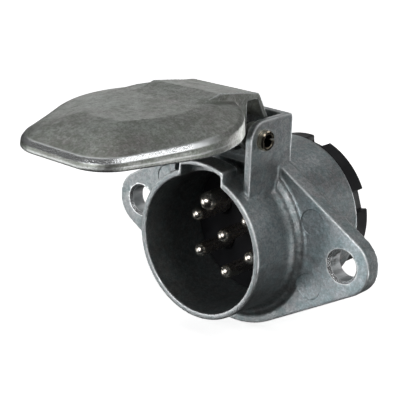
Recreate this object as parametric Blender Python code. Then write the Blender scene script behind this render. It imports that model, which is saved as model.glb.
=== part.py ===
"""Seven-pole trailer wiring socket with a die-cast housing and a hinged lid.

Frame: origin at the centre of the flange's back face (the panel plane), +X to
the right seen from the mating side, +Y into the panel, +Z up.  Metres.
"""
import math

import bmesh
import bpy

MM = 0.001

# Barrel and panel flange
BARREL_R = 25.5
BORE_R = 23.45
MOUTH_Y = -25.4
FLANGE_T = 6.0
HUB_R = 32.3
EAR_X = 43.87
EAR_R = 10.2
BOLT_R = 5.0
BOLT_CHAMFER = 0.86
COLLAR_R = 27.7
# Keyway at the top of the mouth
KEY_OUTER_R = 28.5
KEY_INNER_R = 26.9
KEY_OUTER_HALF = 9.2
KEY_INNER_HALF = 8.55
KEY_LENGTH = 7.8
# Rear skirt, its bore and the castellated retaining ring
SKIRT_R = 27.3
SKIRT_BORE_R = 24.8
SKIRT_END = 26.8
SHOULDER_Y = 5.0
RING_R = 26.35
RING_BORE_R = 21.0
RING_END = 34.3
RING_GAPS = 6
RING_GAP_START = 19.0
# Hinge yoke on top of the flange
CHEEK_OUT = 17.0
CHEEK_IN = 14.6
CHEEK_FRONT = -21.2
CHEEK_TOP = 43.8
BACK_WALL = 3.0
FLOOR_Z = 27.6
FLOOR_FRONT = -12.2
HINGE_Y = -14.8
HINGE_Z = 37.5
PIN_R = 3.3
PIN_BORE_R = 2.05
PIN_HALF = 18.9
HINGE_HOLE_R = 3.4
# Lid, in its own frame: origin on the hinge axis, front at -Y, outer face up
LID_DROOP = 2.0
RIM_Z = 7.2
CAP_Y = -36.5
CAP_R = 30.3
LIP_X = 9.0
LIP_Y = -61.0
LIP_R = 12.9
LID_WALL = 2.2
LID_TOP = 16.8
FLAT_END = -25.0
REAR_FALL = 0.17
CEILING_Z = 12.7
HOOD_HALF = 13.8
LUG_IN = 11.3
LUG_R = 4.9
# Contacts, all on one pitch circle but for the middle one
PITCH_R = 12.6
EARTH_R = 13.4
CONTACT_TURN = 8.5
PIN_SMALL_R = 2.38
PIN_LARGE_R = 3.15
TIP_Y = -14.0
EARTH_TIP_Y = -21.0
INSERT_FRONT = 2.0
INSERT_BACK = 18.0
POST_R = 3.4
POST_END = 26.0


def material(name, colour, roughness, metallic):
    mat = bpy.data.materials.new(name)
    mat.use_nodes = True
    shader = mat.node_tree.nodes["Principled BSDF"]
    shader.inputs["Base Color"].default_value = (*colour, 1.0)
    shader.inputs["Roughness"].default_value = roughness
    shader.inputs["Metallic"].default_value = metallic
    return mat


def finish(name, bm, mat, smooth=True):
    bmesh.ops.remove_doubles(bm, verts=bm.verts, dist=0.00001)
    bmesh.ops.recalc_face_normals(bm, faces=bm.faces)
    mesh = bpy.data.meshes.new(name)
    bm.to_mesh(mesh)
    bm.free()
    obj = bpy.data.objects.new(name, mesh)
    bpy.context.scene.collection.objects.link(obj)
    if mat is not None:
        mesh.materials.append(mat)
    if smooth:
        mesh.shade_smooth()
        mesh.set_sharp_from_angle(angle=math.radians(32))
    return obj


def lathe(name, profile, mat=None, segs=64, centre=(0.0, 0.0)):
    """Turn (radius, y) points about an axis parallel to Y."""
    bm = bmesh.new()
    rings = []
    for radius, y in profile:
        if radius < 0.001:
            rings.append([bm.verts.new((centre[0] * MM, y * MM, centre[1] * MM))])
            continue
        ring = []
        for k in range(segs):
            a = 2 * math.pi * k / segs
            x = centre[0] + radius * math.cos(a)
            z = centre[1] + radius * math.sin(a)
            ring.append(bm.verts.new((x * MM, y * MM, z * MM)))
        rings.append(ring)
    for one, two in zip(rings, rings[1:] + rings[:1]):
        if len(one) == 1 and len(two) == 1:
            continue
        for k in range(segs):
            n = (k + 1) % segs
            if len(one) == 1:
                bm.faces.new((one[0], two[k], two[n]))
            elif len(two) == 1:
                bm.faces.new((one[k], two[0], one[n]))
            else:
                bm.faces.new((one[k], two[k], two[n], one[n]))
    return finish(name, bm, mat)


def prism(name, outline, low, high, axis="Y", mat=None):
    """Extrude a closed outline: (x, z) points along Y, or (y, z) points along X."""
    bm = bmesh.new()
    ends = []
    for level in (low, high):
        if axis == "Y":
            ends.append([bm.verts.new((a * MM, level * MM, b * MM)) for a, b in outline])
        else:
            ends.append([bm.verts.new((level * MM, a * MM, b * MM)) for a, b in outline])
    count = len(outline)
    bm.faces.new(ends[0])
    bm.faces.new(list(reversed(ends[1])))
    for k in range(count):
        n = (k + 1) % count
        bm.faces.new((ends[0][k], ends[0][n], ends[1][n], ends[1][k]))
    return finish(name, bm, mat)


def tool(obj):
    obj.hide_render = True
    obj.display_type = "WIRE"
    return obj


def combine(target, other, operation):
    mod = target.modifiers.new(operation.lower() + "_" + other.name, "BOOLEAN")
    mod.operation = operation
    mod.object = tool(other)
    return mod


def arc(cx, cy, radius, start, end, steps):
    points = []
    for k in range(steps + 1):
        a = math.radians(start + (end - start) * k / steps)
        points.append((cx + radius * math.cos(a), cy + radius * math.sin(a)))
    return points


def tangent_angle(distance, big, small):
    return math.degrees(math.acos((big - small) / distance))


def flange_outline(inset=0.0):
    """Round hub with a round ear on each side, joined by straight tangents."""
    turn = tangent_angle(EAR_X, HUB_R, EAR_R)
    points = arc(EAR_X, 0, EAR_R - inset, -turn, turn, 14)
    points += arc(0, 0, HUB_R - inset, turn, 180 - turn, 16)
    points += arc(-EAR_X, 0, EAR_R - inset, 180 - turn, 180 + turn, 14)
    points += arc(0, 0, HUB_R - inset, 180 + turn, 360 - turn, 16)
    return points


def hull(points):
    """Convex hull of 2-D points, counter-clockwise."""
    points = sorted(set(points))

    def half(sequence):
        out = []
        for p in sequence:
            while len(out) > 1:
                ax, ay = out[-1][0] - out[-2][0], out[-1][1] - out[-2][1]
                bx, by = p[0] - out[-2][0], p[1] - out[-2][1]
                if ax * by - ay * bx > 0:
                    break
                out.pop()
            out.append(p)
        return out[:-1]

    return half(points) + half(reversed(points))


def rays(outline, centre_y, count):
    """Points of a convex outline seen from (0, centre_y) at even angles from the front."""
    found = []
    for k in range(count):
        a = 2 * math.pi * k / count
        dx, dy = math.sin(a), -math.cos(a)
        best = 0.0
        for (px, py), (qx, qy) in zip(outline, outline[1:] + outline[:1]):
            ex, ey = qx - px, qy - py
            det = dx * ey - dy * ex
            if abs(det) < 1e-9:
                continue
            rx, ry = px, py - centre_y
            t = (rx * ey - ry * ex) / det
            s = (rx * dy - ry * dx) / det
            if -1e-9 <= s <= 1 + 1e-9 and t > best:
                best = t
        found.append((a, best))
    return found


def lid_shell(name, mat):
    """Cap with a broad front lip: skirt, chamfer, sloping facets and a flat top."""
    count = 60
    rim = arc(0, CAP_Y, CAP_R, 0, 355, 71)
    for side in (-1, 1):
        rim += arc(side * LIP_X, LIP_Y, LIP_R, 0, 350, 35)
    top = arc(0, -38.0, 15.9, 0, 350, 35)
    for side in (-1, 1):
        top += arc(side * 6.5, -52.5, 3.0, 0, 315, 7)
    under = HOOD_HALF - 0.1
    plate = [(side * under, -8.0) for side in (-1, 1)]
    edge = rays(hull(rim), CAP_Y, count)
    flat = rays(hull(top + [(side * under, FLAT_END) for side in (-1, 1)]), CAP_Y, count)
    whole = rays(hull(top + plate), CAP_Y, count)
    seat = rays(hull(arc(0, -37.5, 26.2, 0, 355, 71)), CAP_Y, count)
    rings = []

    def shoulder(a):
        return 12.7 - 1.9 * math.cos(a)

    def crest(a, r, w):
        """Radius and height of the facets' upper edge, which falls away beside the hood."""
        radius = min(w, r - 1.9)
        behind = CAP_Y - radius * math.cos(a) - FLAT_END
        return radius, LID_TOP - REAR_FALL * max(behind, 0.0)

    def facet(a, r, w, t):
        radius, z = crest(a, r, w)
        low = shoulder(a)
        bulge = 0.4 * max(z - low, 0.0) * t * (1 - t)
        return (r - 1.5) + (radius - r + 1.5) * t, low + (z - low) * t + bulge

    def ring(fn):
        points = []
        for (a, r), (_, f), (_, w), (_, s) in zip(edge, flat, whole, seat):
            radius, z = fn(a, r, f, w, s)
            points.append((radius * math.sin(a), CAP_Y - radius * math.cos(a), z))
        rings.append(points)

    ring(lambda a, r, f, w, s: (r - 0.5, RIM_Z))
    ring(lambda a, r, f, w, s: (r, RIM_Z + 0.5))
    ring(lambda a, r, f, w, s: (r - 0.3, shoulder(a) - 1.4))
    for t in (0.0, 0.28, 0.65, 1.0):
        ring(lambda a, r, f, w, s, t=t: facet(a, r, w, t))
    ring(lambda a, r, f, w, s: (min(f, crest(a, r, w)[0]) - 0.2, LID_TOP))
    outer = len(rings)
    ring(lambda a, r, f, w, s: (s, CEILING_Z))
    ring(lambda a, r, f, w, s: (max(r - LID_WALL - 0.5, s + 0.3), shoulder(a) - 2.4))
    ring(lambda a, r, f, w, s: (r - LID_WALL - 0.1, RIM_Z))
    bm = bmesh.new()
    verts = [[bm.verts.new((x * MM, y * MM, z * MM)) for x, y, z in points] for points in rings]
    bm.faces.new(verts[outer - 1])
    bm.faces.new(list(reversed(verts[outer])))
    pairs = list(zip(verts[:outer], verts[1:outer])) + list(zip(verts[outer:], verts[outer + 1:]))
    pairs.append((verts[-1], verts[0]))
    for one, two in pairs:
        for k in range(count):
            n = (k + 1) % count
            bm.faces.new((one[k], one[n], two[n], two[k]))
    return finish(name, bm, mat)


def tube(name, path, radius, sides, mat):
    """Round wire along a list of points, closed at both ends."""
    from mathutils import Vector

    points = [Vector(p) * MM for p in path]
    bm = bmesh.new()
    rings = []
    normal = Vector((0.0, 0.3, 1.0)).normalized()
    for k, point in enumerate(points):
        ahead = points[min(k + 1, len(points) - 1)] - points[max(k - 1, 0)]
        ahead.normalize()
        normal = (normal - ahead * normal.dot(ahead)).normalized()
        side = ahead.cross(normal)
        ring = []
        for j in range(sides):
            a = 2 * math.pi * j / sides
            offset = (normal * math.cos(a) + side * math.sin(a)) * radius * MM
            ring.append(bm.verts.new(point + offset))
        rings.append(ring)
    for one, two in zip(rings, rings[1:]):
        for j in range(sides):
            n = (j + 1) % sides
            bm.faces.new((one[j], one[n], two[n], two[j]))
    bm.faces.new(rings[0])
    bm.faces.new(list(reversed(rings[-1])))
    return finish(name, bm, mat)


def make_housing(mat):
    body = lathe("housing", [
        (0, MOUTH_Y), (BARREL_R - 0.4, MOUTH_Y), (BARREL_R, MOUTH_Y + 0.4),
        (BARREL_R, -9.6), (BARREL_R + 0.45, -8.3), (BARREL_R + 1.2, -7.5),
        (COLLAR_R, -7.1), (COLLAR_R, -3.0), (SKIRT_R, -3.0),
        (SKIRT_R, SKIRT_END - 0.4), (SKIRT_R - 0.4, SKIRT_END), (0, SKIRT_END),
    ], mat)
    # Flange with a small chamfer round its front edge
    flange = prism("tool_flange", flange_outline(), -FLANGE_T + 0.5, 0)
    combine(body, flange, "UNION")
    front = prism("tool_flange_front", flange_outline(0.5), -FLANGE_T, -1.0)
    combine(body, front, "UNION")
    # Keyway bulge
    outline = [(-KEY_OUTER_HALF, 22.0)]
    half = math.degrees(math.asin(KEY_OUTER_HALF / KEY_OUTER_R)) - 1.6
    outline.append((-KEY_OUTER_HALF, KEY_OUTER_R * math.cos(math.radians(half)) - 1.0))
    outline += arc(0, 0, KEY_OUTER_R, 90 + half, 90 - half, 12)
    outline.append((KEY_OUTER_HALF, KEY_OUTER_R * math.cos(math.radians(half)) - 1.0))
    outline.append((KEY_OUTER_HALF, 22.0))
    combine(body, prism("tool_bulge", outline, MOUTH_Y, MOUTH_Y + KEY_LENGTH), "UNION")
    # Hinge yoke: solid block first, then the gap between its cheeks
    side = [(0.0, 15.0), (0.0, CHEEK_TOP - 1.0), (-1.0, CHEEK_TOP)]
    side += arc(CHEEK_FRONT + 6.4, CHEEK_TOP - 6.4, 6.4, 90, 180, 8)
    side.append((CHEEK_FRONT, 15.0))
    combine(body, prism("tool_yoke", side, -CHEEK_OUT, CHEEK_OUT, "X"), "UNION")
    gap = [(-60.0, 22.3), (-60.0, 60.0), (-BACK_WALL, 60.0), (-BACK_WALL, FLOOR_Z + 1.4),
           (-BACK_WALL - 1.4, FLOOR_Z), (FLOOR_FRONT, FLOOR_Z), (FLOOR_FRONT, 22.3)]
    combine(body, prism("tool_gap", gap, -CHEEK_IN, CHEEK_IN, "X"), "DIFFERENCE")
    refill = lathe("tool_refill", [
        (0, MOUTH_Y), (BARREL_R - 0.4, MOUTH_Y), (BARREL_R, MOUTH_Y + 0.4),
        (BARREL_R, -2.0), (0, -2.0),
    ])
    combine(body, refill, "UNION")
    again = prism("tool_bulge_again", outline, MOUTH_Y, MOUTH_Y + KEY_LENGTH)
    combine(body, again, "UNION")
    # Bores
    bore = lathe("tool_bore", [
        (0, MOUTH_Y - 5), (BORE_R + 0.4, MOUTH_Y - 5), (BORE_R + 0.4, MOUTH_Y),
        (BORE_R, MOUTH_Y + 0.4), (BORE_R, SHOULDER_Y), (SKIRT_BORE_R, SHOULDER_Y),
        (SKIRT_BORE_R, SKIRT_END + 5), (0, SKIRT_END + 5),
    ])
    combine(body, bore, "DIFFERENCE")
    key = math.degrees(math.asin(KEY_INNER_HALF / KEY_INNER_R))
    groove = [(-KEY_INNER_HALF, 20.0)] + arc(0, 0, KEY_INNER_R, 90 + key, 90 - key, 12)
    groove.append((KEY_INNER_HALF, 20.0))
    combine(body, prism("tool_groove", groove, MOUTH_Y - 5, MOUTH_Y + KEY_LENGTH - 1.2),
            "DIFFERENCE")
    # Bolt holes with a chamfered front edge, and the shallow moulding marks
    for k, ex in enumerate((-EAR_X, EAR_X)):
        hole = lathe("tool_bolt_%d" % k, [
            (0, -12), (BOLT_R + BOLT_CHAMFER, -12), (BOLT_R + BOLT_CHAMFER, -FLANGE_T),
            (BOLT_R, -FLANGE_T + BOLT_CHAMFER), (BOLT_R, 6), (0, 6),
        ], segs=32, centre=(ex, 0))
        combine(body, hole, "DIFFERENCE")
        for j, mz in enumerate((11.3, -10.7)):
            mark = lathe("tool_mark_%d%d" % (k, j), [
                (0, -12), (4.5, -12), (4.5, -FLANGE_T + 0.35), (0, -FLANGE_T + 0.35),
            ], segs=24, centre=(math.copysign(31.5, ex), mz))
            combine(body, mark, "DIFFERENCE")
    hinge = prism("tool_hinge", arc(HINGE_Y, HINGE_Z, HINGE_HOLE_R, 0, 348.75, 31), -30, 30, "X")
    combine(body, hinge, "DIFFERENCE")
    return body


def make_lid(mat):
    lid = lid_shell("lid", mat)
    cut = prism("tool_rear", [(-13.5, 0.0), (-13.5, CEILING_Z - 0.05), (5.0, CEILING_Z - 0.05), (5.0, 0.0)],
                -17.7, 17.7, "X")
    combine(lid, cut, "DIFFERENCE")
    hood = [(-30.0, 16.6), (-24.0, 17.3), (-18.0, 18.3), (-8.0, 16.5), (0.9, 14.6), (1.5, 13.9),
            (5.8, 5.6), (4.2, 5.4), (0.4, 12.7), (-8.0, 13.3), (-30.0, 13.3)]
    hood_solid = prism("tool_hood", hood, -HOOD_HALF, HOOD_HALF, "X")
    combine(lid, hood_solid, "UNION")
    lug = arc(0, 0, LUG_R, -140, 160, 20)
    lug += [(-4.7, 14.0), (-13.9, 14.0), (-13.9, 6.2), (-9.0, 1.2)]
    tools = [cut, hood_solid]
    for side in (-1, 1):
        low, high = sorted((side * LUG_IN, side * (HOOD_HALF - 0.05)))
        arm = prism("tool_arm_%d" % (side + 1), lug, low, high, "X")
        combine(lid, arm, "UNION")
        tools.append(arm)
    hole = prism("tool_lid_hole", arc(0, 0, HINGE_HOLE_R, 0, 348.75, 31), -30, 30, "X")
    combine(lid, hole, "DIFFERENCE")
    for obj in tools + [hole]:
        obj.parent = lid
    lid.location = (0, HINGE_Y * MM, HINGE_Z * MM)
    lid.rotation_euler = (math.radians(LID_DROOP), 0, 0)
    return lid


def make_gasket(mat, lid):
    gasket = lathe("lid_gasket", [(0, 0.0), (25.7, 0.0), (25.9, 0.3), (25.9, 1.2), (25.7, 1.5),
                                  (0, 1.5)], mat, segs=48)
    gasket.parent = lid
    gasket.location = (0, -37.5 * MM, 10.9 * MM)
    gasket.rotation_euler = (math.radians(90), 0, 0)
    return gasket


def make_pin(mat):
    """Rolled spring pin: a tube with a lengthwise slit facing back."""
    outline = arc(0, 0, PIN_R, 7, 353, 31)
    outline += arc(0, 0, PIN_BORE_R, 348, 12, 23)
    pin = prism("hinge_pin", outline, -PIN_HALF, PIN_HALF, "X", mat)
    pin.location = (0, HINGE_Y * MM, HINGE_Z * MM)
    pin.rotation_euler = (math.radians(3), 0, 0)
    return pin


def make_spring(mat):
    """Torsion spring round the pin: one leg on the back wall, one under the lid."""
    radius, wire, turns = 4.75, 0.75, 5
    path = [(-9.0, 10.6, 3.2), (-9.0, 5.6, 4.4)]
    steps = turns * 14
    for k in range(steps + 1):
        a = math.radians(62 + 360 * k / 14)
        x = -9.0 + 18.0 * k / steps
        path.append((x, radius * math.cos(a), radius * math.sin(a)))
    path += [(9.0, -4.0, 6.4), (9.0, -9.5, 9.4)]
    spring = tube("lid_spring", path, wire, 6, mat)
    spring.location = (0, HINGE_Y * MM, HINGE_Z * MM)
    return spring


def contact_places():
    """(number, x, z): the earth contact first, the middle one last."""
    places = [(1, EARTH_R, 90 + CONTACT_TURN)]
    for k in range(1, 6):
        places.append((k + 1, PITCH_R, 90 + CONTACT_TURN - 60 * k))
    places.append((7, 0.0, 0.0))
    for number, radius, angle in places:
        a = math.radians(angle)
        yield number, radius * math.cos(a), radius * math.sin(a)


def make_insert(mat):
    insert = lathe("insert", [
        (0, INSERT_FRONT), (22.7, INSERT_FRONT), (23.1, INSERT_FRONT + 0.4),
        (23.1, SHOULDER_Y + 0.3), (24.5, SHOULDER_Y + 0.3), (24.5, 12.0), (20.0, 12.0),
        (20.0, INSERT_BACK), (0, INSERT_BACK),
    ], mat)
    for number, x, z in contact_places():
        radius = (PIN_LARGE_R if number == 1 else PIN_SMALL_R) + 0.25
        hole = lathe("tool_hole_%d" % number, [(0, -3), (radius, -3), (radius, 22), (0, 22)],
                     segs=16, centre=(x, z))
        combine(insert, hole, "DIFFERENCE")
    return insert


def make_contact(number, x, z, mat):
    radius = PIN_LARGE_R if number == 1 else PIN_SMALL_R
    tip = EARTH_TIP_Y if number == 1 else TIP_Y
    profile = [(0, tip)]
    for k in range(1, 5):
        a = math.radians(22.5 * k)
        profile.append((radius * math.sin(a), tip + radius * (1 - math.cos(a))))
    profile += [(radius, INSERT_BACK + 0.3), (POST_R, INSERT_BACK + 0.3), (POST_R, POST_END - 0.3),
                (POST_R - 0.3, POST_END), (1.9, POST_END), (1.9, 19.5), (0, 19.5)]
    contact = lathe("contact_%d" % number, profile, mat, segs=16)
    contact.location = (x * MM, 0, z * MM)
    return contact


def make_screw(number, x, z, mat):
    screw = lathe("terminal_screw_%d" % number, [
        (0, 20.0), (1.6, 20.0), (1.6, POST_END + 0.3), (3.0, POST_END + 0.3),
        (3.0, POST_END + 2.0), (2.6, POST_END + 2.4), (0, POST_END + 2.4),
    ], mat, segs=16)
    slot = prism("tool_slot_%d" % number, [(-4, -0.4), (4, -0.4), (4, 0.4), (-4, 0.4)],
                 POST_END + 1.2, POST_END + 4)
    slot.rotation_euler = (0, math.radians(25 + 47 * number), 0)
    slot.parent = screw
    combine(screw, slot, "DIFFERENCE")
    screw.location = (x * MM, 0, z * MM)
    return screw


def make_ring(mat):
    """Retaining ring: plain spigot inside the skirt, castellated rim behind it."""
    ring = lathe("retaining_ring", [
        (RING_BORE_R, 12.3), (24.5, 12.3), (24.5, SKIRT_END + 0.3), (RING_R, SKIRT_END + 0.3),
        (RING_R, RING_END - 0.5), (RING_R - 0.5, RING_END), (RING_BORE_R + 0.5, RING_END),
        (RING_BORE_R, RING_END - 0.5),
    ], mat, segs=72)
    for k in range(RING_GAPS):
        notch = prism("tool_notch_%d" % k, [(23.6, -3.3), (30, -3.9), (30, 3.9), (23.6, 3.3)],
                      SKIRT_END - 0.2, RING_END + 3)
        notch.rotation_euler = (0, -math.radians(RING_GAP_START + 360 * k / RING_GAPS), 0)
        combine(ring, notch, "DIFFERENCE")
    return ring


def main():
    for obj in list(bpy.data.objects):
        bpy.data.objects.remove(obj, do_unlink=True)
    cast = material("cast_metal", (0.27, 0.28, 0.28), 0.5, 0.9)
    steel = material("plated_steel", (0.62, 0.58, 0.5), 0.25, 1.0)
    spring_steel = material("spring_steel", (0.3, 0.3, 0.31), 0.35, 1.0)
    nickel = material("contact_metal", (0.75, 0.7, 0.62), 0.18, 1.0)
    black = material("black_plastic", (0.012, 0.012, 0.014), 0.45, 0.0)
    rubber = material("seal_rubber", (0.02, 0.02, 0.02), 0.7, 0.0)
    make_housing(cast)
    lid = make_lid(cast)
    make_gasket(rubber, lid)
    make_pin(steel)
    make_spring(spring_steel)
    make_insert(black)
    make_ring(black)
    for number, x, z in contact_places():
        make_contact(number, x, z, nickel)
        make_screw(number, x, z, steel)


main()
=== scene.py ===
"""Looks of the trailer wiring socket: cast housing and lid, contacts, insert, ring and studio."""
import math

import bmesh
import bpy
from mathutils import Matrix, Vector


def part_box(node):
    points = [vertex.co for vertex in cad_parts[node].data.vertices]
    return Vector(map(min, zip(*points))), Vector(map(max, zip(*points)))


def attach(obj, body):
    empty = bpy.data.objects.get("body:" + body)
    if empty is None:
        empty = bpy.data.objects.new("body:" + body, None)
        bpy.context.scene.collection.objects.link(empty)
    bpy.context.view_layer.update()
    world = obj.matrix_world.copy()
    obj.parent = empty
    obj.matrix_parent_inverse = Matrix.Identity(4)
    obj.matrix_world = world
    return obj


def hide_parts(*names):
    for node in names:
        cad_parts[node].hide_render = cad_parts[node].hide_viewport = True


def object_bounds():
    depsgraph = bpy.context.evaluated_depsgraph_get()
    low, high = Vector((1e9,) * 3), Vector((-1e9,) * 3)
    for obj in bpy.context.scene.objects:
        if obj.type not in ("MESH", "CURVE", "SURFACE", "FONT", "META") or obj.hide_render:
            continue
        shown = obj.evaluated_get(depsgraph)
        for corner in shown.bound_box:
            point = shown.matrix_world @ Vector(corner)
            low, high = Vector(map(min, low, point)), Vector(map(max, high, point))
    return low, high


MM = 0.001

# Housing, in millimetres from the centre of the flange's back face
BARREL_R, BORE_R = 25.5, 23.45
FLANGE_T, HUB_R = 6.0, 32.3
EAR_X, EAR_R = 43.87, 10.2
BOLT_R, BOLT_CHAMFER = 5.0, 0.86
COLLAR_R = 27.7
KEY_OUTER_R, KEY_INNER_R = 28.5, 26.9
KEY_OUTER_HALF, KEY_INNER_HALF, KEY_LENGTH = 9.2, 8.55, 7.8
SKIRT_R, SKIRT_BORE_R, SHOULDER_Y = 27.3, 24.8, 5.0
CHEEK_OUT, CHEEK_IN, CHEEK_FRONT, CHEEK_TOP = 17.0, 14.6, -21.2, 43.8
BACK_WALL, FLOOR_Z, FLOOR_FRONT = 3.0, 27.6, -12.2
HINGE_Y, HINGE_Z, HINGE_HOLE_R = -14.8, 37.5, 3.4
PIN_R, PIN_BORE_R = 3.3, 2.05
# Lid, from the hinge axis with its front at -Y
LID_DROOP = 2.0
RIM_Z, CAP_Y, CAP_R = 7.2, -36.5, 30.3
LIP_X, LIP_Y, LIP_R = 9.0, -61.0, 12.9
LID_WALL, LID_TOP, CEILING_Z = 2.2, 16.8, 12.7
FLAT_END, REAR_FALL = -25.0, 0.17
HOOD_HALF, LUG_IN, LUG_R = 13.8, 11.3, 4.9
TOP_TILT, FLAT_LEFT = 0.033, 18.3
# Seal in the lid, by the lid's own frame
SEAL_Y, SEAL_Z, SEAL_R, SEAL_T = -37.5, 10.9, 25.9, 1.5
# Lid spring
COIL_R, COIL_TURNS, COIL_START, COIL_LENGTH, WIRE_R, LEG_X = 4.75, 5, 62, 17.0, 0.74, 9.8
# Contacts
PITCH_R, EARTH_R, CONTACT_TURN = 12.6, 13.4, 8.5
PIN_SMALL_R, PIN_LARGE_R = 2.38, 3.15
# Retaining ring
RING_BORE_R, RING_LIP_Y, NOTCHES, NOTCH_TURN = 21.0, 27.1, 6, 19
# Grid on which cast surfaces are softened, and the most triangles a cast piece keeps
CAST_GRID = 0.42
MOST_FACES = 190000
# Studio: soft boxes look at AIM, in metres
AIM, BOX_SIZE, BOX_DISTANCE = (0, -0.02, 0.02), 0.6, 1.0

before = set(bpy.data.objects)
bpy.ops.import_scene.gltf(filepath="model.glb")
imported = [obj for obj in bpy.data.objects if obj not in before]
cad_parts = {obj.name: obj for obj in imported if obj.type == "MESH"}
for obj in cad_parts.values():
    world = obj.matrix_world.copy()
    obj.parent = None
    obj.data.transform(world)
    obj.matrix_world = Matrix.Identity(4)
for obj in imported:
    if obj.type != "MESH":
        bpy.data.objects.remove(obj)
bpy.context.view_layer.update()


# ---------------------------------------------------------------- mesh tools

def new_object(name, bm, smooth_angle=35):
    bmesh.ops.remove_doubles(bm, verts=bm.verts, dist=0.000004)
    bmesh.ops.recalc_face_normals(bm, faces=bm.faces)
    mesh = bpy.data.meshes.new(name)
    bm.to_mesh(mesh)
    bm.free()
    obj = bpy.data.objects.new(name, mesh)
    bpy.context.scene.collection.objects.link(obj)
    shade(obj, smooth_angle)
    return obj


def shade(obj, angle=35):
    obj.data.shade_smooth()
    obj.data.set_sharp_from_angle(angle=math.radians(angle))


def lathe(name, profile, segs=128, centre=(0.0, 0.0), smooth_angle=35):
    """Turn (radius, y) points about an axis parallel to Y."""
    bm = bmesh.new()
    rings = []
    for radius, y in profile:
        if radius < 0.0005:
            rings.append([bm.verts.new((centre[0] * MM, y * MM, centre[1] * MM))])
            continue
        ring = []
        for k in range(segs):
            a = 2 * math.pi * k / segs
            x, z = centre[0] + radius * math.cos(a), centre[1] + radius * math.sin(a)
            ring.append(bm.verts.new((x * MM, y * MM, z * MM)))
        rings.append(ring)
    for one, two in zip(rings, rings[1:] + rings[:1]):
        for k in range(segs):
            n = (k + 1) % segs
            corners = [one[k % len(one)], two[k % len(two)], two[n % len(two)], one[n % len(one)]]
            corners = list(dict.fromkeys(corners))
            if len(corners) > 2:
                bm.faces.new(corners)
    return new_object(name, bm, smooth_angle)


def prism(name, outline, low, high, axis="Y"):
    """Extrude a closed outline: (x, z) points along Y, or (y, z) points along X."""
    place = {"Y": lambda a, b, c: (a, c, b), "X": lambda a, b, c: (c, a, b)}[axis]
    bm = bmesh.new()
    ends = [[bm.verts.new(Vector(place(a, b, level)) * MM) for a, b in outline]
            for level in (low, high)]
    bm.faces.new(ends[0])
    bm.faces.new(list(reversed(ends[1])))
    for k in range(len(outline)):
        n = (k + 1) % len(outline)
        bm.faces.new((ends[0][k], ends[0][n], ends[1][n], ends[1][k]))
    return new_object(name, bm)


def arc(cx, cy, radius, start, end, steps):
    """Points on a circle from one angle to another, in degrees."""
    angles = [math.radians(start + (end - start) * k / steps) for k in range(steps + 1)]
    return [(cx + radius * math.cos(a), cy + radius * math.sin(a)) for a in angles]


def bake(obj):
    """Put what the modifiers make into the mesh itself."""
    graph = bpy.context.evaluated_depsgraph_get()
    mesh = bpy.data.meshes.new_from_object(obj.evaluated_get(graph))
    obj.modifiers.clear()
    obj.data = mesh
    return obj


def combine(target, other, operation):
    """Boolean with another closed mesh, which is used up."""
    mod = target.modifiers.new("cut", "BOOLEAN")
    mod.operation, mod.object, mod.solver = operation, other, "MANIFOLD"
    bake(target)
    bpy.data.objects.remove(other, do_unlink=True)
    return target


def soften(obj, grid, passes):
    """Round all edges and corners as a casting has them."""
    remesh = obj.modifiers.new("grid", "REMESH")
    remesh.mode, remesh.voxel_size, remesh.use_smooth_shade = "VOXEL", grid * MM, True
    smooth = obj.modifiers.new("round", "SMOOTH")
    smooth.factor, smooth.iterations = 0.5, passes
    bake(obj)
    faces = 2 * len(obj.data.polygons)
    if faces > MOST_FACES:
        thin = obj.modifiers.new("thin", "DECIMATE")
        thin.ratio = MOST_FACES / faces
        bake(obj)
    return obj


def store(obj, name, values):
    """Keep one number per point for the material to read."""
    attribute = obj.data.attributes.new(name, "FLOAT", "POINT")
    attribute.data.foreach_set("value", values)


def ramp(value, low, high):
    t = min(max((value - low) / (high - low), 0.0), 1.0)
    return t * t * (3 - 2 * t)


def edge_wear(obj, low=0.045, high=0.15):
    """How far each point stands proud of its neighbours: 1 on outer corners."""
    mesh = obj.data
    bm = bmesh.new()
    bm.from_mesh(mesh)
    bm.normal_update()
    values = []
    for vert in bm.verts:
        rise, count = 0.0, 0
        for edge in vert.link_edges:
            step = edge.other_vert(vert).co - vert.co
            if step.length > 1e-7:
                rise -= step.normalized().dot(vert.normal)
                count += 1
        values.append(rise / max(count, 1))
    for _ in range(2):
        values = [(values[v.index] * 2 + sum(values[e.other_vert(v).index] for e in v.link_edges))
                  / (2 + len(v.link_edges)) for v in bm.verts]
    bm.free()
    store(obj, "worn", [ramp(v, low, high) for v in values])


def hull(points):
    """Convex hull of 2-D points, counter-clockwise."""
    points = sorted(set(points))

    def half(sequence):
        out = []
        for p in sequence:
            while len(out) > 1:
                ax, ay = out[-1][0] - out[-2][0], out[-1][1] - out[-2][1]
                bx, by = p[0] - out[-2][0], p[1] - out[-2][1]
                if ax * by - ay * bx > 0:
                    break
                out.pop()
            out.append(p)
        return out[:-1]

    return half(points) + half(reversed(points))


def rays(outline, centre_y, count):
    """Distances from (0, centre_y) to a convex outline, at even angles from the front."""
    found = []
    for k in range(count):
        a = 2 * math.pi * k / count
        dx, dy = math.sin(a), -math.cos(a)
        best = 0.0
        for (px, py), (qx, qy) in zip(outline, outline[1:] + outline[:1]):
            ex, ey = qx - px, qy - py
            det = dx * ey - dy * ex
            if abs(det) < 1e-9:
                continue
            rx, ry = px, py - centre_y
            t = (rx * ey - ry * ex) / det
            s = (rx * dy - ry * dx) / det
            if -1e-9 <= s <= 1 + 1e-9 and t > best:
                best = t
        found.append(best)
    return found


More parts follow.
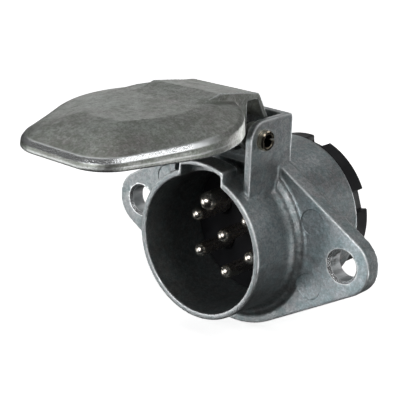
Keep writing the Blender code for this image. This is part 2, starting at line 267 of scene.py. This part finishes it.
def tube(name, path, radius, sides):
    """Round wire along a list of points in millimetres, with rounded ends."""
    points = [Vector(p) for p in path]
    first, last = (points[0] - points[1]).normalized(), (points[-1] - points[-2]).normalized()
    radii = [radius] * len(points)
    points = [points[0] + first * radius * 0.4] + points + [points[-1] + last * radius * 0.4]
    radii = [radius * 0.7] + radii + [radius * 0.7]
    bm = bmesh.new()
    rings = []
    normal = Vector((0.0, 0.3, 1.0)).normalized()
    for k, point in enumerate(points):
        ahead = (points[min(k + 1, len(points) - 1)] - points[max(k - 1, 0)]).normalized()
        normal = (normal - ahead * normal.dot(ahead)).normalized()
        side = ahead.cross(normal)
        turn = [2 * math.pi * j / sides for j in range(sides)]
        rings.append([bm.verts.new(
            (point + (normal * math.cos(a) + side * math.sin(a)) * radii[k]) * MM) for a in turn])
    for one, two in zip(rings, rings[1:]):
        for j in range(sides):
            n = (j + 1) % sides
            bm.faces.new((one[j], one[n], two[n], two[j]))
    bm.faces.new(rings[0])
    bm.faces.new(list(reversed(rings[-1])))
    return new_object(name, bm, 50)


# ---------------------------------------------------------------- materials

class Nodes:
    """Short hand for building a material's node tree."""

    def __init__(self, name):
        self.mat = bpy.data.materials.new(name)
        self.mat.use_nodes = True
        self.tree = self.mat.node_tree
        self.shader = self.tree.nodes["Principled BSDF"]
        self.point = self.add("ShaderNodeTexCoord").outputs["Object"]

    def add(self, kind, **values):
        node = self.tree.nodes.new(kind)
        for key, value in values.items():
            if key in node.inputs:
                node.inputs[key].default_value = value
            else:
                setattr(node, key, value)
        return node

    def link(self, out, into):
        self.tree.links.new(out, into)

    def noise(self, scale, detail=4.0, roughness=0.55, stretch=None):
        node = self.add("ShaderNodeTexNoise", Scale=scale, Detail=detail, Roughness=roughness)
        source = self.point
        if stretch:
            mapping = self.add("ShaderNodeMapping", Scale=stretch)
            self.link(source, mapping.inputs["Vector"])
            source = mapping.outputs["Vector"]
        self.link(source, node.inputs["Vector"])
        return node.outputs["Fac"]

    def ramp(self, fac, stops):
        """Colour ramp with (place, colour) stops; a number gives a grey."""
        node = self.add("ShaderNodeValToRGB")
        elements = node.color_ramp.elements
        while len(elements) < len(stops):
            elements.new(0.5)
        for element, (place, colour) in zip(elements, stops):
            element.position = place
            element.color = (*((colour,) * 3 if isinstance(colour, float) else colour), 1.0)
        self.link(fac, node.inputs["Fac"])
        return node.outputs["Color"]

    def mix(self, fac, one, two, blend="MIX"):
        node = self.add("ShaderNodeMix", data_type="RGBA", blend_type=blend)
        for socket, value in ((node.inputs[0], fac), (node.inputs[6], one), (node.inputs[7], two)):
            if isinstance(value, bpy.types.NodeSocket):
                self.link(value, socket)
            else:
                socket.default_value = value
        return node.outputs[2]

    def bump(self, height, strength, distance, after=None):
        node = self.add("ShaderNodeBump", Strength=strength, Distance=distance * MM)
        self.link(height, node.inputs["Height"])
        if after is not None:
            self.link(after, node.inputs["Normal"])
        return node.outputs["Normal"]

    def attribute(self, name):
        return self.add("ShaderNodeAttribute", attribute_name=name).outputs["Fac"]

    def finish(self, colour=None, roughness=None, normal=None, **values):
        for socket, value in (("Base Color", colour), ("Roughness", roughness), ("Normal", normal)):
            if value is None:
                continue
            if isinstance(value, bpy.types.NodeSocket):
                self.link(value, self.shader.inputs[socket])
            else:
                self.shader.inputs[socket].default_value = value
        for key, value in values.items():
            self.shader.inputs[key.replace("_", " ")].default_value = value
        return self.mat


def cast_metal(name, light, dark, tint):
    """Satin die-cast alloy: cloudy flow marks, fine skin grain, worn bright edges, ground faces
    with painted highlights, and painted light on one flange face.
    """
    n = Nodes(name)
    cloud = n.noise(70.0, 5.0, 0.6)
    patch = n.noise(260.0, 4.0, 0.7)
    flow = n.noise(520.0, 3.0, 0.6, stretch=(1.0, 0.4, 1.0))
    grain = n.noise(1500.0, 3.0, 0.7)
    mottle = n.noise(620.0, 4.0, 0.75)
    speck = n.noise(1500.0, 2.0, 0.5)
    worn, polish_and_painted_highlight, painted_light = n.attribute("worn"), n.attribute("polish_and_painted_highlight"), n.attribute("painted_light")
    base = n.mix(n.ramp(cloud, [(0.35, 0.0), (0.65, 1.0)]), (*dark, 1), (*light, 1))
    base = n.mix(n.ramp(patch, [(0.42, 0.0), (0.62, 0.8)]), base, (*tint, 1))
    base = n.mix(n.ramp(grain, [(0.38, 0.45), (0.55, 0.0)]), base, (*[v * 0.4 for v in dark], 1))
    base = n.mix(n.ramp(mottle, [(0.4, 0.4), (0.52, 0.0)]), base, (*[v * 0.6 for v in tint], 1))
    base = n.mix(n.ramp(mottle, [(0.53, 0.0), (0.68, 0.3)]), base, (*[v * 1.5 for v in light], 1))
    base = n.mix(n.ramp(flow, [(0.55, 0.0), (0.75, 0.3)]), base, (*[v * 1.5 for v in light], 1))
    base = n.mix(n.ramp(speck, [(0.66, 0.0), (0.72, 0.3)]), base, (*[v * 1.5 for v in light], 1))
    # Painted light: lightens the flange's front face on its right ear
    base = n.mix(painted_light, base, (1.5, 1.58, 1.62, 1), "MULTIPLY")
    base = n.mix(worn, base, (0.72, 0.74, 0.75, 1))
    # Ground bevels and countersinks, plus painted highlights on the lid's bevel and parting line:
    # lighter and smoother
    base = n.mix(polish_and_painted_highlight, base, (0.86, 0.88, 0.89, 1))
    roughness = n.ramp(patch, [(0.3, 0.34), (0.7, 0.5)])
    roughness = n.mix(worn, roughness, (0.3, 0.3, 0.3, 1))
    roughness = n.mix(polish_and_painted_highlight, roughness, (0.27, 0.27, 0.27, 1))
    normal = n.bump(grain, 0.9, 0.12)
    normal = n.bump(mottle, 0.5, 0.16, normal)
    normal = n.bump(patch, 0.35, 0.22, normal)
    normal = n.bump(cloud, 0.25, 0.7, normal)
    return n.finish(base, roughness, normal, Metallic=0.9)


def drawn_wire(name, colour, roughness):
    """Spring steel with fine drawing lines."""
    n = Nodes(name)
    lines = n.noise(900.0, 3.0, 0.6, stretch=(0.2, 3.0, 0.2))
    smear = n.noise(300.0, 3.0, 0.5)
    rough = n.ramp(smear, [(0.3, roughness * 0.8), (0.7, roughness * 1.5)])
    tone = n.ramp(lines, [(0.3, tuple(v * 0.85 for v in colour)), (0.7, colour)])
    return n.finish(tone, rough, n.bump(lines, 0.25, 0.03), Metallic=1.0)


def plated_metal(name, colour, roughness):
    """Plate with faint handling marks, and painted shade: black inside a bore."""
    n = Nodes(name)
    smear = n.noise(500.0, 4.0, 0.6)
    rough = n.ramp(smear, [(0.35, roughness * 0.9), (0.7, roughness * 1.25)])
    tone = n.ramp(smear, [(0.3, tuple(v * 0.88 for v in colour)), (0.65, colour)])
    # Painted shade: points inside the bore get near-black colour
    bore = n.attribute("bore")
    tone = n.mix(bore, tone, (0.01, 0.009, 0.008, 1))
    rough = n.mix(bore, rough, (0.7, 0.7, 0.7, 1))
    return n.finish(tone, rough, n.bump(smear, 0.03, 0.01), Metallic=1.0)


def black_plastic(name):
    """Glass-filled moulding: near black, slightly uneven sheen."""
    colour, roughness = (0.004, 0.004, 0.005), 0.5
    n = Nodes(name)
    grain = n.noise(1800.0, 3.0, 0.6)
    cloud = n.noise(180.0, 3.0, 0.5)
    tone = n.ramp(cloud, [(0.3, colour), (0.7, tuple(v * 1.8 for v in colour))])
    rough = n.ramp(cloud, [(0.3, roughness * 0.85), (0.7, roughness * 1.3)])
    return n.finish(tone, rough, n.bump(grain, 0.25, 0.04), Specular_IOR_Level=0.22)


def rubber(name):
    n = Nodes(name)
    grain = n.noise(1400.0, 3.0, 0.6)
    tone = n.ramp(grain, [(0.3, 0.012), (0.7, 0.028)])
    return n.finish(tone, 0.72, n.bump(grain, 0.3, 0.05), Specular_IOR_Level=0.3)


# ---------------------------------------------------------------- housing

def flange_outline():
    """Round hub with a round ear on each side, joined by straight tangents."""
    turn = math.degrees(math.acos((HUB_R - EAR_R) / EAR_X))
    points = arc(EAR_X, 0, EAR_R, -turn, turn, 32)
    points += arc(0, 0, HUB_R, turn, 180 - turn, 40)
    points += arc(-EAR_X, 0, EAR_R, 180 - turn, 180 + turn, 32)
    points += arc(0, 0, HUB_R, 180 + turn, 360 - turn, 40)
    return points


def key_outline(radius, half, foot):
    """Round-topped block over the barrel, from a foot inside its wall."""
    turn = math.degrees(math.asin(half / radius))
    return [(-half, foot)] + arc(0, 0, radius, 90 + turn, 90 - turn, 24) + [(half, foot)]


def make_housing():
    low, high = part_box("housing")
    mouth, end = low.y / MM, high.y / MM
    body = lathe("housing_casting", [
        (0, mouth), (BARREL_R - 0.25, mouth), (BARREL_R, mouth + 0.25),
        (BARREL_R, -10.4), (BARREL_R + 0.25, -9.2), (BARREL_R + 0.8, -8.1),
        (BARREL_R + 1.5, -7.4), (COLLAR_R, -7.2), (COLLAR_R + 0.9, -6.9), (COLLAR_R + 1.5, -6.3),
        (COLLAR_R + 1.7, -5.6), (COLLAR_R + 1.7, -3.0), (SKIRT_R, -3.0),
        (SKIRT_R, end - 0.5), (SKIRT_R - 0.5, end), (0, end),
    ])
    combine(body, prism("flange", flange_outline(), -FLANGE_T, 0), "UNION")
    combine(body, prism("bulge", key_outline(KEY_OUTER_R, KEY_OUTER_HALF, 18), mouth,
                        mouth + KEY_LENGTH), "UNION")
    side = [(0.0, 15.0), (0.0, CHEEK_TOP - 0.8), (-0.8, CHEEK_TOP)]
    side += arc(CHEEK_FRONT + 6.4, CHEEK_TOP - 6.4, 6.4, 90, 180, 20) + [(CHEEK_FRONT, 15.0)]
    yoke = prism("yoke", side, -CHEEK_OUT, CHEEK_OUT, "X")
    gap = [(-60.0, 10.0), (-60.0, 60.0), (-BACK_WALL, 60.0), (-BACK_WALL, FLOOR_Z + 1.4),
           (-BACK_WALL - 1.4, FLOOR_Z), (FLOOR_FRONT, FLOOR_Z), (FLOOR_FRONT, 10.0)]
    combine(yoke, prism("gap", gap, -CHEEK_IN, CHEEK_IN, "X"), "DIFFERENCE")
    combine(body, yoke, "UNION")
    bore = lathe("bore", [
        (0, mouth - 5), (BORE_R, mouth - 5), (BORE_R, SHOULDER_Y), (SKIRT_BORE_R, SHOULDER_Y),
        (SKIRT_BORE_R, end + 5), (0, end + 5),
    ])
    combine(body, bore, "DIFFERENCE")
    combine(body, prism("groove", key_outline(KEY_INNER_R, KEY_INNER_HALF, 20), mouth - 5,
                        mouth + KEY_LENGTH - 1.2), "DIFFERENCE")
    soften(body, CAST_GRID, 3)
    for x in (-31.5, 31.5):
        for z in (11.3, -10.7):
            mark = lathe("mark", [
                (0, -12), (4.8, -12), (4.6, -FLANGE_T - 0.01), (4.3, -FLANGE_T + 0.22),
                (0, -FLANGE_T + 0.22),
            ], 64, (x, z))
            combine(body, mark, "DIFFERENCE")
    for ex in (-EAR_X, EAR_X):
        hole = lathe("bolt", [
            (0, -12), (BOLT_R + BOLT_CHAMFER + 1.0, -12), (BOLT_R + BOLT_CHAMFER, -FLANGE_T - 0.01),
            (BOLT_R, -FLANGE_T + BOLT_CHAMFER), (BOLT_R, -FLANGE_T + BOLT_CHAMFER + 0.3),
            (BOLT_R, 6), (0, 6),
        ], 96, (ex, 0))
        combine(body, hole, "DIFFERENCE")
    pin = prism("pin", arc(HINGE_Y, HINGE_Z, HINGE_HOLE_R, 0, 354, 59), -30, 30, "X")
    combine(body, pin, "DIFFERENCE")
    shade(body, 24)
    edge_wear(body)
    polish_and_painted_highlight = []
    for vert in body.data.vertices:
        x, y, z = vert.co / MM
        away = math.hypot(abs(x) - EAR_X, z)
        polish_and_painted_highlight.append(1.0 if BOLT_R - 0.1 < away < BOLT_R + BOLT_CHAMFER + 0.1
                      and -FLANGE_T - 0.1 < y < BOLT_CHAMFER - FLANGE_T + 0.1 else 0.0)
    store(body, "polish_and_painted_highlight", polish_and_painted_highlight)
    # Painted light: the flange's front face on its right ear gets a lighter tone, standing in for
    # light from the front right
    store(body, "painted_light", [ramp(v.co.x / MM, 20.0, 32.0)
                          * (1 - ramp(abs(v.co.y / MM + FLANGE_T), 0.3, 0.6))
                          for v in body.data.vertices])
    return body


# ---------------------------------------------------------------- lid

def shoulder(a):
    """Height at which the facets begin, at an angle from the front."""
    return 12.7 - 1.9 * math.cos(a)


def lid_rings():
    """Closed rings from the rim over the top and back inside, and the number of outer ones."""
    count = 240
    rim = arc(0, CAP_Y, CAP_R, 0, 357, 119)
    top = arc(0, -38.0, 15.9, 0, 350, 35)
    for side in (-1, 1):
        rim += arc(side * LIP_X, LIP_Y, LIP_R, 0, 355, 71)
        top += arc(side * 6.5, -52.5, 3.0, 0, 345, 23)
    top += [(-FLAT_LEFT, -40.0), (-FLAT_LEFT, -21.0)]
    under = HOOD_HALF - 0.1
    edge = rays(hull(rim), CAP_Y, count)
    flat = rays(hull(top + [(-under, FLAT_END), (under, FLAT_END)]), CAP_Y, count)
    whole = rays(hull(top + [(-under, -8.0), (under, -8.0)]), CAP_Y, count)
    seat = rays(hull(arc(0, -37.5, 26.2, 0, 357, 119)), CAP_Y, count)

    def crest(a, r, w):
        radius = min(w, r - 1.9)
        behind = CAP_Y - radius * math.cos(a) - FLAT_END
        fall = REAR_FALL if a < math.pi else 0.0
        return radius, LID_TOP - fall * max(behind, 0.0)

    def facet(a, r, w, t):
        radius, z = crest(a, r, w)
        low = shoulder(a)
        bulge = 0.4 * max(z - low, 0.0) * t * (1 - t)
        return (r - 1.5) + (radius - r + 1.5) * t, low + (z - low) * t + bulge

    # Each maker gives (radius, height) from the angle and the edge, flat, whole and seat radii
    makers = [lambda a, r, f, w, s: (r - 0.5, RIM_Z), lambda a, r, f, w, s: (r, RIM_Z + 0.5),
              lambda a, r, f, w, s: (r - 0.3, shoulder(a) - 1.4)]
    for k in range(11):
        makers.append(lambda a, r, f, w, s, t=k / 10: facet(a, r, w, t))
    makers.append(lambda a, r, f, w, s: (min(f, crest(a, r, w)[0]) - 0.2, LID_TOP))
    outer = len(makers)
    makers += [lambda a, r, f, w, s: (s, CEILING_Z),
               lambda a, r, f, w, s: (max(r - LID_WALL - 0.5, s + 0.3), shoulder(a) - 2.4),
               lambda a, r, f, w, s: (r - LID_WALL - 0.1, RIM_Z)]
    rings = []
    for maker in makers:
        points = []
        for k in range(count):
            a = 2 * math.pi * k / count
            radius, z = maker(a, edge[k], flat[k], whole[k], seat[k])
            points.append((radius * math.sin(a), CAP_Y - radius * math.cos(a), z))
        rings.append(points)
    return rings, outer


def lid_shell():
    rings, outer = lid_rings()
    bm = bmesh.new()
    verts = [[bm.verts.new(Vector(p) * MM) for p in points] for points in rings]
    bm.faces.new(verts[outer - 1])
    bm.faces.new(list(reversed(verts[outer])))
    pairs = list(zip(verts[:outer], verts[1:outer])) + list(zip(verts[outer:], verts[outer + 1:]))
    pairs.append((verts[-1], verts[0]))
    for one, two in pairs:
        for k in range(len(one)):
            n = (k + 1) % len(one)
            bm.faces.new((one[k], one[n], two[n], two[k]))
    return new_object("lid_casting", bm)


def place_lid(obj):
    """From the lid's own frame to where it rests, open."""
    turn = Matrix.Rotation(math.radians(LID_DROOP), 4, "X")
    obj.data.transform(Matrix.Translation((0, HINGE_Y * MM, HINGE_Z * MM)) @ turn)
    return obj


def lid_masks(lid):
    """Ground bevel below the facets with a painted highlight on it, and a painted highlight line
    along the parting line round the skirt.
    """
    polish_and_painted_highlight = []
    for vert in lid.data.vertices:
        x, y, z = vert.co / MM
        a = abs(math.atan2(x, CAP_Y - y))
        top = shoulder(a)
        band = ramp(z, top - 1.5, top - 1.2) * (1 - ramp(z, top - 0.1, top + 0.25))
        # Painted highlight: the bevel band is only a quarter as strong on the -x side as toward +x
        band *= (1 - ramp(a, 1.2, 1.7)) * (0.25 + 0.75 * ramp(x, -24.0, -8.0))
        outside = math.hypot(x, y - CAP_Y) > 26.0
        # Painted highlight: a bright line along the parting line round the skirt
        part = RIM_Z + 0.5 * (top - 1.4 - RIM_Z)
        line = 0.5 * (1 - ramp(abs(z - part), 0.1, 0.3)) * (1 - ramp(a, 1.5, 2.0))
        polish_and_painted_highlight.append(max(band, line) if outside else 0.0)
    store(lid, "polish_and_painted_highlight", polish_and_painted_highlight)


def make_lid():
    lid = lid_shell()
    cut = [(-13.5, 0.0), (-13.5, CEILING_Z - 0.05), (5.0, CEILING_Z - 0.05), (5.0, 0.0)]
    combine(lid, prism("rear", cut, -17.7, 17.7, "X"), "DIFFERENCE")
    hood = [(-30.0, 16.6), (-24.0, 17.3), (-18.0, 18.3), (-8.0, 16.5), (0.9, 14.6), (1.5, 13.9),
            (5.8, 5.6), (4.2, 5.4), (0.4, 12.7), (-8.0, 13.3), (-30.0, 13.3)]
    combine(lid, prism("hood", hood, -HOOD_HALF, HOOD_HALF, "X"), "UNION")
    lug = arc(0, 0, LUG_R, -140, 160, 60)
    lug += [(-4.7, 14.0), (-13.9, 14.0), (-13.9, 6.2), (-9.0, 1.2)]
    for side in (-1, 1):
        low, high = sorted((side * LUG_IN, side * (HOOD_HALF - 0.05)))
        combine(lid, prism("arm", lug, low, high, "X"), "UNION")
    soften(lid, CAST_GRID * 0.8, 2)
    for vert in lid.data.vertices:
        x, z = vert.co.x / MM, vert.co.z / MM
        vert.co.z -= TOP_TILT * (HOOD_HALF - x) * ramp(z, 12.8, 16.2) * MM
    combine(lid, prism("pin", arc(0, 0, HINGE_HOLE_R, 0, 354, 59), -30, 30, "X"), "DIFFERENCE")
    shade(lid, 40)
    lid_masks(lid)
    edge_wear(lid)
    return place_lid(lid)


def make_gasket():
    gasket = lathe("lid_seal", [
        (0, 0.0), (SEAL_R - 0.2, 0.0), (SEAL_R, 0.3), (SEAL_R, SEAL_T - 0.3),
        (SEAL_R - 0.2, SEAL_T), (0, SEAL_T),
    ])
    gasket.data.transform(Matrix.Rotation(math.radians(90), 4, "X"))
    gasket.data.transform(Matrix.Translation((0, SEAL_Y * MM, SEAL_Z * MM)))
    return place_lid(gasket)


# ---------------------------------------------------------------- small pieces

def make_pin():
    """Rolled spring pin: a tube with chamfered ends and a slit along it."""
    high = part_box("hinge_pin")[1].x / MM
    pin = lathe("spring_pin", [
        (PIN_BORE_R, 0.35 - high), (PIN_BORE_R + 0.25, -high), (PIN_R - 0.3, -high),
        (PIN_R, 0.4 - high), (PIN_R, high - 0.4), (PIN_R - 0.3, high),
        (PIN_BORE_R + 0.25, high), (PIN_BORE_R, high - 0.35),
    ], 96)
    slit = prism("slit", [(1.0, -0.3), (5.0, -0.3), (5.0, 0.3), (1.0, 0.3)], -30, 30)
    combine(pin, slit, "DIFFERENCE")
    # Painted shade: marks the points inside the bore, which the material makes near black
    inside = [1.0 if math.hypot(v.co.x, v.co.z) / MM < PIN_BORE_R + 0.05 else 0.0
              for v in pin.data.vertices]
    store(pin, "bore", inside)
    pin.data.transform(Matrix.Rotation(math.radians(90), 4, "Z"))
    turn = Matrix.Rotation(math.radians(3), 4, "X")
    pin.data.transform(Matrix.Translation((0, HINGE_Y * MM, HINGE_Z * MM)) @ turn)
    shade(pin, 30)
    return pin


def make_spring():
    """The coil and its rear leg, which bears on the yoke's back wall."""
    path = [(-9.0, 10.6, -0.3), (-9.0, 5.75, 2.3)]
    steps = COIL_TURNS * 40
    for k in range(steps + 1):
        a = math.radians(COIL_START + 360 * k / 40)
        path.append((-9.0 + COIL_LENGTH * k / steps, COIL_R * math.cos(a), COIL_R * math.sin(a)))
    path = [(x, HINGE_Y + y, HINGE_Z + z) for x, y, z in path]
    return tube("torsion_spring", path, WIRE_R, 14)


def make_spring_leg():
    """The last part turn and the leg that bears under the lid, which turns with it."""
    path = [(LEG_X, y, z) for y, z in arc(0, 0, COIL_R, -60, 100, 20)]
    path += [(LEG_X, -4.2, 7.2), (LEG_X, -9.3, 11.2)]
    return place_lid(tube("torsion_spring_leg", path, WIRE_R, 14))


def contact_places():
    """Number, x and z of each contact: the earth, five round it and one in the middle."""
    places = [(1, EARTH_R, 90 + CONTACT_TURN)]
    places += [(k + 1, PITCH_R, 90 + CONTACT_TURN - 60 * k) for k in range(1, 6)]
    places.append((7, 0.0, 0.0))
    for number, radius, angle in places:
        a = math.radians(angle)
        yield number, radius * math.cos(a), radius * math.sin(a)


def make_insert():
    low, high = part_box("insert")
    front, back = low.y / MM, high.y / MM
    insert = lathe("contact_carrier", [
        (0, front), (22.6, front), (23.0, front + 0.15), (23.1, front + 0.5),
        (23.1, 5.3), (24.3, 5.3), (24.5, 5.5), (24.5, 11.8), (24.3, 12.0), (20.0, 12.0),
        (20.0, back - 0.3), (19.7, back), (0, back),
    ])
    for number, x, z in contact_places():
        radius = (PIN_LARGE_R if number == 1 else PIN_SMALL_R) + 0.25
        hole = lathe("hole", [(0, -3), (radius + 0.9, -3), (radius + 0.9, front),
                              (radius, front + 0.7), (radius, 22), (0, 22)], 48, (x, z))
        combine(insert, hole, "DIFFERENCE")
    shade(insert, 35)
    return insert


def make_contact(number, x, z):
    low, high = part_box("contact_%d" % number)
    tip, end = low.y / MM, high.y / MM
    radius = PIN_LARGE_R if number == 1 else PIN_SMALL_R
    head = (high.x - low.x) / MM / 2
    profile = [(radius * math.sin(a), tip + radius * (1 - math.cos(a)))
               for a in (math.radians(7.5 * k) for k in range(13))]
    profile += [(radius, 18.3), (head - 0.3, 18.3), (head, 18.6), (head, end - 0.3),
                (head - 0.3, end), (2.1, end), (1.9, end - 0.2), (1.9, 19.5), (0, 19.5)]
    return lathe("pin_contact_%d" % number, profile, 48, (x, z), 40)


def make_screw(number, x, z):
    low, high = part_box("terminal_screw_%d" % number)
    top = high.y / MM
    profile = [(0, low.y / MM), (1.3, low.y / MM), (1.6, low.y / MM + 0.4)]
    for k in range(9):
        profile += [(1.6, 20.6 + 0.6 * k), (1.35, 20.9 + 0.6 * k)]
    profile += [(1.6, top - 2.1), (2.9, top - 2.1), (3.0, top - 2.0), (3.0, top - 0.5),
                (2.85, top - 0.2), (2.5, top), (0, top)]
    screw = lathe("screw_%d" % number, profile, 40)
    slot = prism("slot", [(-4, -0.4), (4, -0.4), (4, 0.4), (-4, 0.4)], top - 1.2, top + 2)
    slot.data.transform(Matrix.Rotation(math.radians(25 + 47 * number), 4, "Y"))
    combine(screw, slot, "DIFFERENCE")
    screw.data.transform(Matrix.Translation((x * MM, 0, z * MM)))
    shade(screw, 35)
    return screw


def make_ring():
    low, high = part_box("retaining_ring")
    start, end, outer = low.y / MM, high.y / MM, high.x / MM
    ring = lathe("clamp_ring", [
        (RING_BORE_R, start), (24.3, start), (24.5, start + 0.2), (24.5, RING_LIP_Y),
        (outer - 0.2, RING_LIP_Y), (outer, RING_LIP_Y + 0.2), (outer, end - 0.6),
        (outer - 0.6, end), (RING_BORE_R + 0.6, end), (RING_BORE_R, end - 0.6),
    ], 144)
    for k in range(NOTCHES):
        notch = prism("notch", [(23.6, -3.3), (30, -3.9), (30, 3.9), (23.6, 3.3)], 26.6, end + 3)
        notch.data.transform(Matrix.Rotation(-math.radians(NOTCH_TURN + 360 / NOTCHES * k), 4, "Y"))
        combine(ring, notch, "DIFFERENCE")
    bevel = ring.modifiers.new("edge", "BEVEL")
    bevel.width, bevel.segments, bevel.limit_method = 0.25 * MM, 2, "ANGLE"
    bevel.angle_limit = math.radians(50)
    bake(ring)
    shade(ring, 35)
    return ring


# ---------------------------------------------------------------- putting it together

def put(obj, mat, body, node):
    obj.data.materials.clear()
    obj.data.materials.append(mat)
    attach(obj, body)
    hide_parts(node)
    return obj


def build():
    cast = cast_metal("cast_alloy", (0.375, 0.4, 0.41), (0.3, 0.295, 0.3), (0.27, 0.335, 0.345))
    lid_cast = cast_metal("cast_alloy_lid", (0.385, 0.415, 0.39), (0.31, 0.295, 0.285),
                          (0.27, 0.295, 0.255))
    steel = plated_metal("plated_steel", (0.68, 0.6, 0.47), 0.2)
    nickel = plated_metal("contact_nickel", (0.8, 0.75, 0.68), 0.24)
    wire = drawn_wire("spring_wire", (0.25, 0.25, 0.26), 0.3)
    black = black_plastic("black_moulding")
    put(make_housing(), cast, "socket", "housing")
    put(make_lid(), lid_cast, "lid", "lid")
    put(make_gasket(), rubber("seal_rubber"), "lid", "lid_gasket")
    put(make_pin(), steel, "socket", "hinge_pin")
    put(make_spring(), wire, "socket", "lid_spring")
    leg = make_spring_leg()
    leg.data.materials.append(wire)
    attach(leg, "lid")
    put(make_insert(), black, "socket", "insert")
    put(make_ring(), black, "socket", "retaining_ring")
    for number, x, z in contact_places():
        put(make_contact(number, x, z), nickel, "socket", "contact_%d" % number)
        put(make_screw(number, x, z), steel, "socket", "terminal_screw_%d" % number)


# ---------------------------------------------------------------- studio

def soft_light(name, azimuth, elevation, power):
    """Square soft box; azimuth 0 is in front of the mouth and 90 to its right."""
    a, e = math.radians(azimuth), math.radians(elevation)
    ray = Vector((math.sin(a) * math.cos(e), -math.cos(a) * math.cos(e), math.sin(e)))
    data = bpy.data.lights.new(name, "AREA")
    data.shape, data.size, data.energy = "SQUARE", BOX_SIZE, power
    obj = bpy.data.objects.new(name, data)
    obj.location = Vector(AIM) + ray * BOX_DISTANCE
    obj.visible_camera = False
    obj.rotation_euler = (-ray).to_track_quat("-Z", "Y").to_euler()
    bpy.context.scene.collection.objects.link(obj)


def make_floor():
    """White ground that only the camera sees, so it doesn't light the socket."""
    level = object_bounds()[0].z - 0.0002
    bm = bmesh.new()
    bmesh.ops.create_grid(bm, x_segments=1, y_segments=1, size=6.0)
    mesh = bpy.data.meshes.new("studio_floor")
    bm.to_mesh(mesh)
    bm.free()
    floor = bpy.data.objects.new("studio_floor", mesh)
    floor.location.z = level
    floor.visible_diffuse = floor.visible_glossy = floor.visible_shadow = False
    bpy.context.scene.collection.objects.link(floor)
    mat = bpy.data.materials.new("studio_floor")
    mat.use_nodes = True
    shader = mat.node_tree.nodes["Principled BSDF"]
    shader.inputs["Base Color"].default_value = (0.8, 0.8, 0.8, 1)
    shader.inputs["Roughness"].default_value = 0.9
    shader.inputs["Emission Color"].default_value = (1, 1, 1, 1)
    shader.inputs["Emission Strength"].default_value = 0.8
    mesh.materials.append(mat)


def make_studio():
    """Dark world for the light, white for the camera, and the soft boxes."""
    scene = bpy.context.scene
    scene.view_settings.view_transform = "Standard"
    world = bpy.data.worlds.new("studio")
    scene.world = world
    world.use_nodes = True
    tree = world.node_tree
    felt = tree.nodes["Background"]
    felt.inputs["Color"].default_value = (0.004, 0.004, 0.004, 1)
    seen = tree.nodes.new("ShaderNodeBackground")
    seen.inputs["Color"].default_value = (1, 1, 1, 1)
    path = tree.nodes.new("ShaderNodeLightPath")
    mix = tree.nodes.new("ShaderNodeMixShader")
    tree.links.new(path.outputs["Is Camera Ray"], mix.inputs["Fac"])
    tree.links.new(felt.outputs[0], mix.inputs[1])
    tree.links.new(seen.outputs[0], mix.inputs[2])
    tree.links.new(mix.outputs[0], tree.nodes["World Output"].inputs["Surface"])
    make_floor()
    soft_light("front", 0, 15, 5.2)
    soft_light("front_left_low", 315, -15, 2.6)
    soft_light("right_low", 90, -15, 2.7)
    soft_light("right_high", 90, 45, 2.2)
    soft_light("right_back", 135, 15, 0.8)
    soft_light("back_left", 225, 15, 1.0)
    soft_light("back_low", 180, -15, 3.8)
    soft_light("back_high", 180, 45, 0.9)
    soft_light("left_high", 270, 45, 0.7)
    soft_light("overhead", 270, 72, 1.3)


def make_camera():
    """Stands right of the mating side and a little above, looking at the socket."""
    data = bpy.data.cameras.new("camera")
    data.sensor_width, data.lens = 36.0, 114.13
    data.clip_start, data.clip_end = 0.01, 20.0
    camera = bpy.data.objects.new("camera", data)
    right = Vector((0.75240, 0.65775, 0.03564))
    up = Vector((-0.24291, 0.22676, 0.94317))
    back = Vector((0.61229, -0.71830, 0.33039))
    turn = Matrix((right, up, back)).transposed().to_4x4()
    camera.matrix_world = Matrix.Translation((0.257096, -0.324394, 0.152442)) @ turn
    bpy.context.scene.collection.objects.link(camera)
    bpy.context.scene.camera = camera


make_camera()
build()
make_studio()
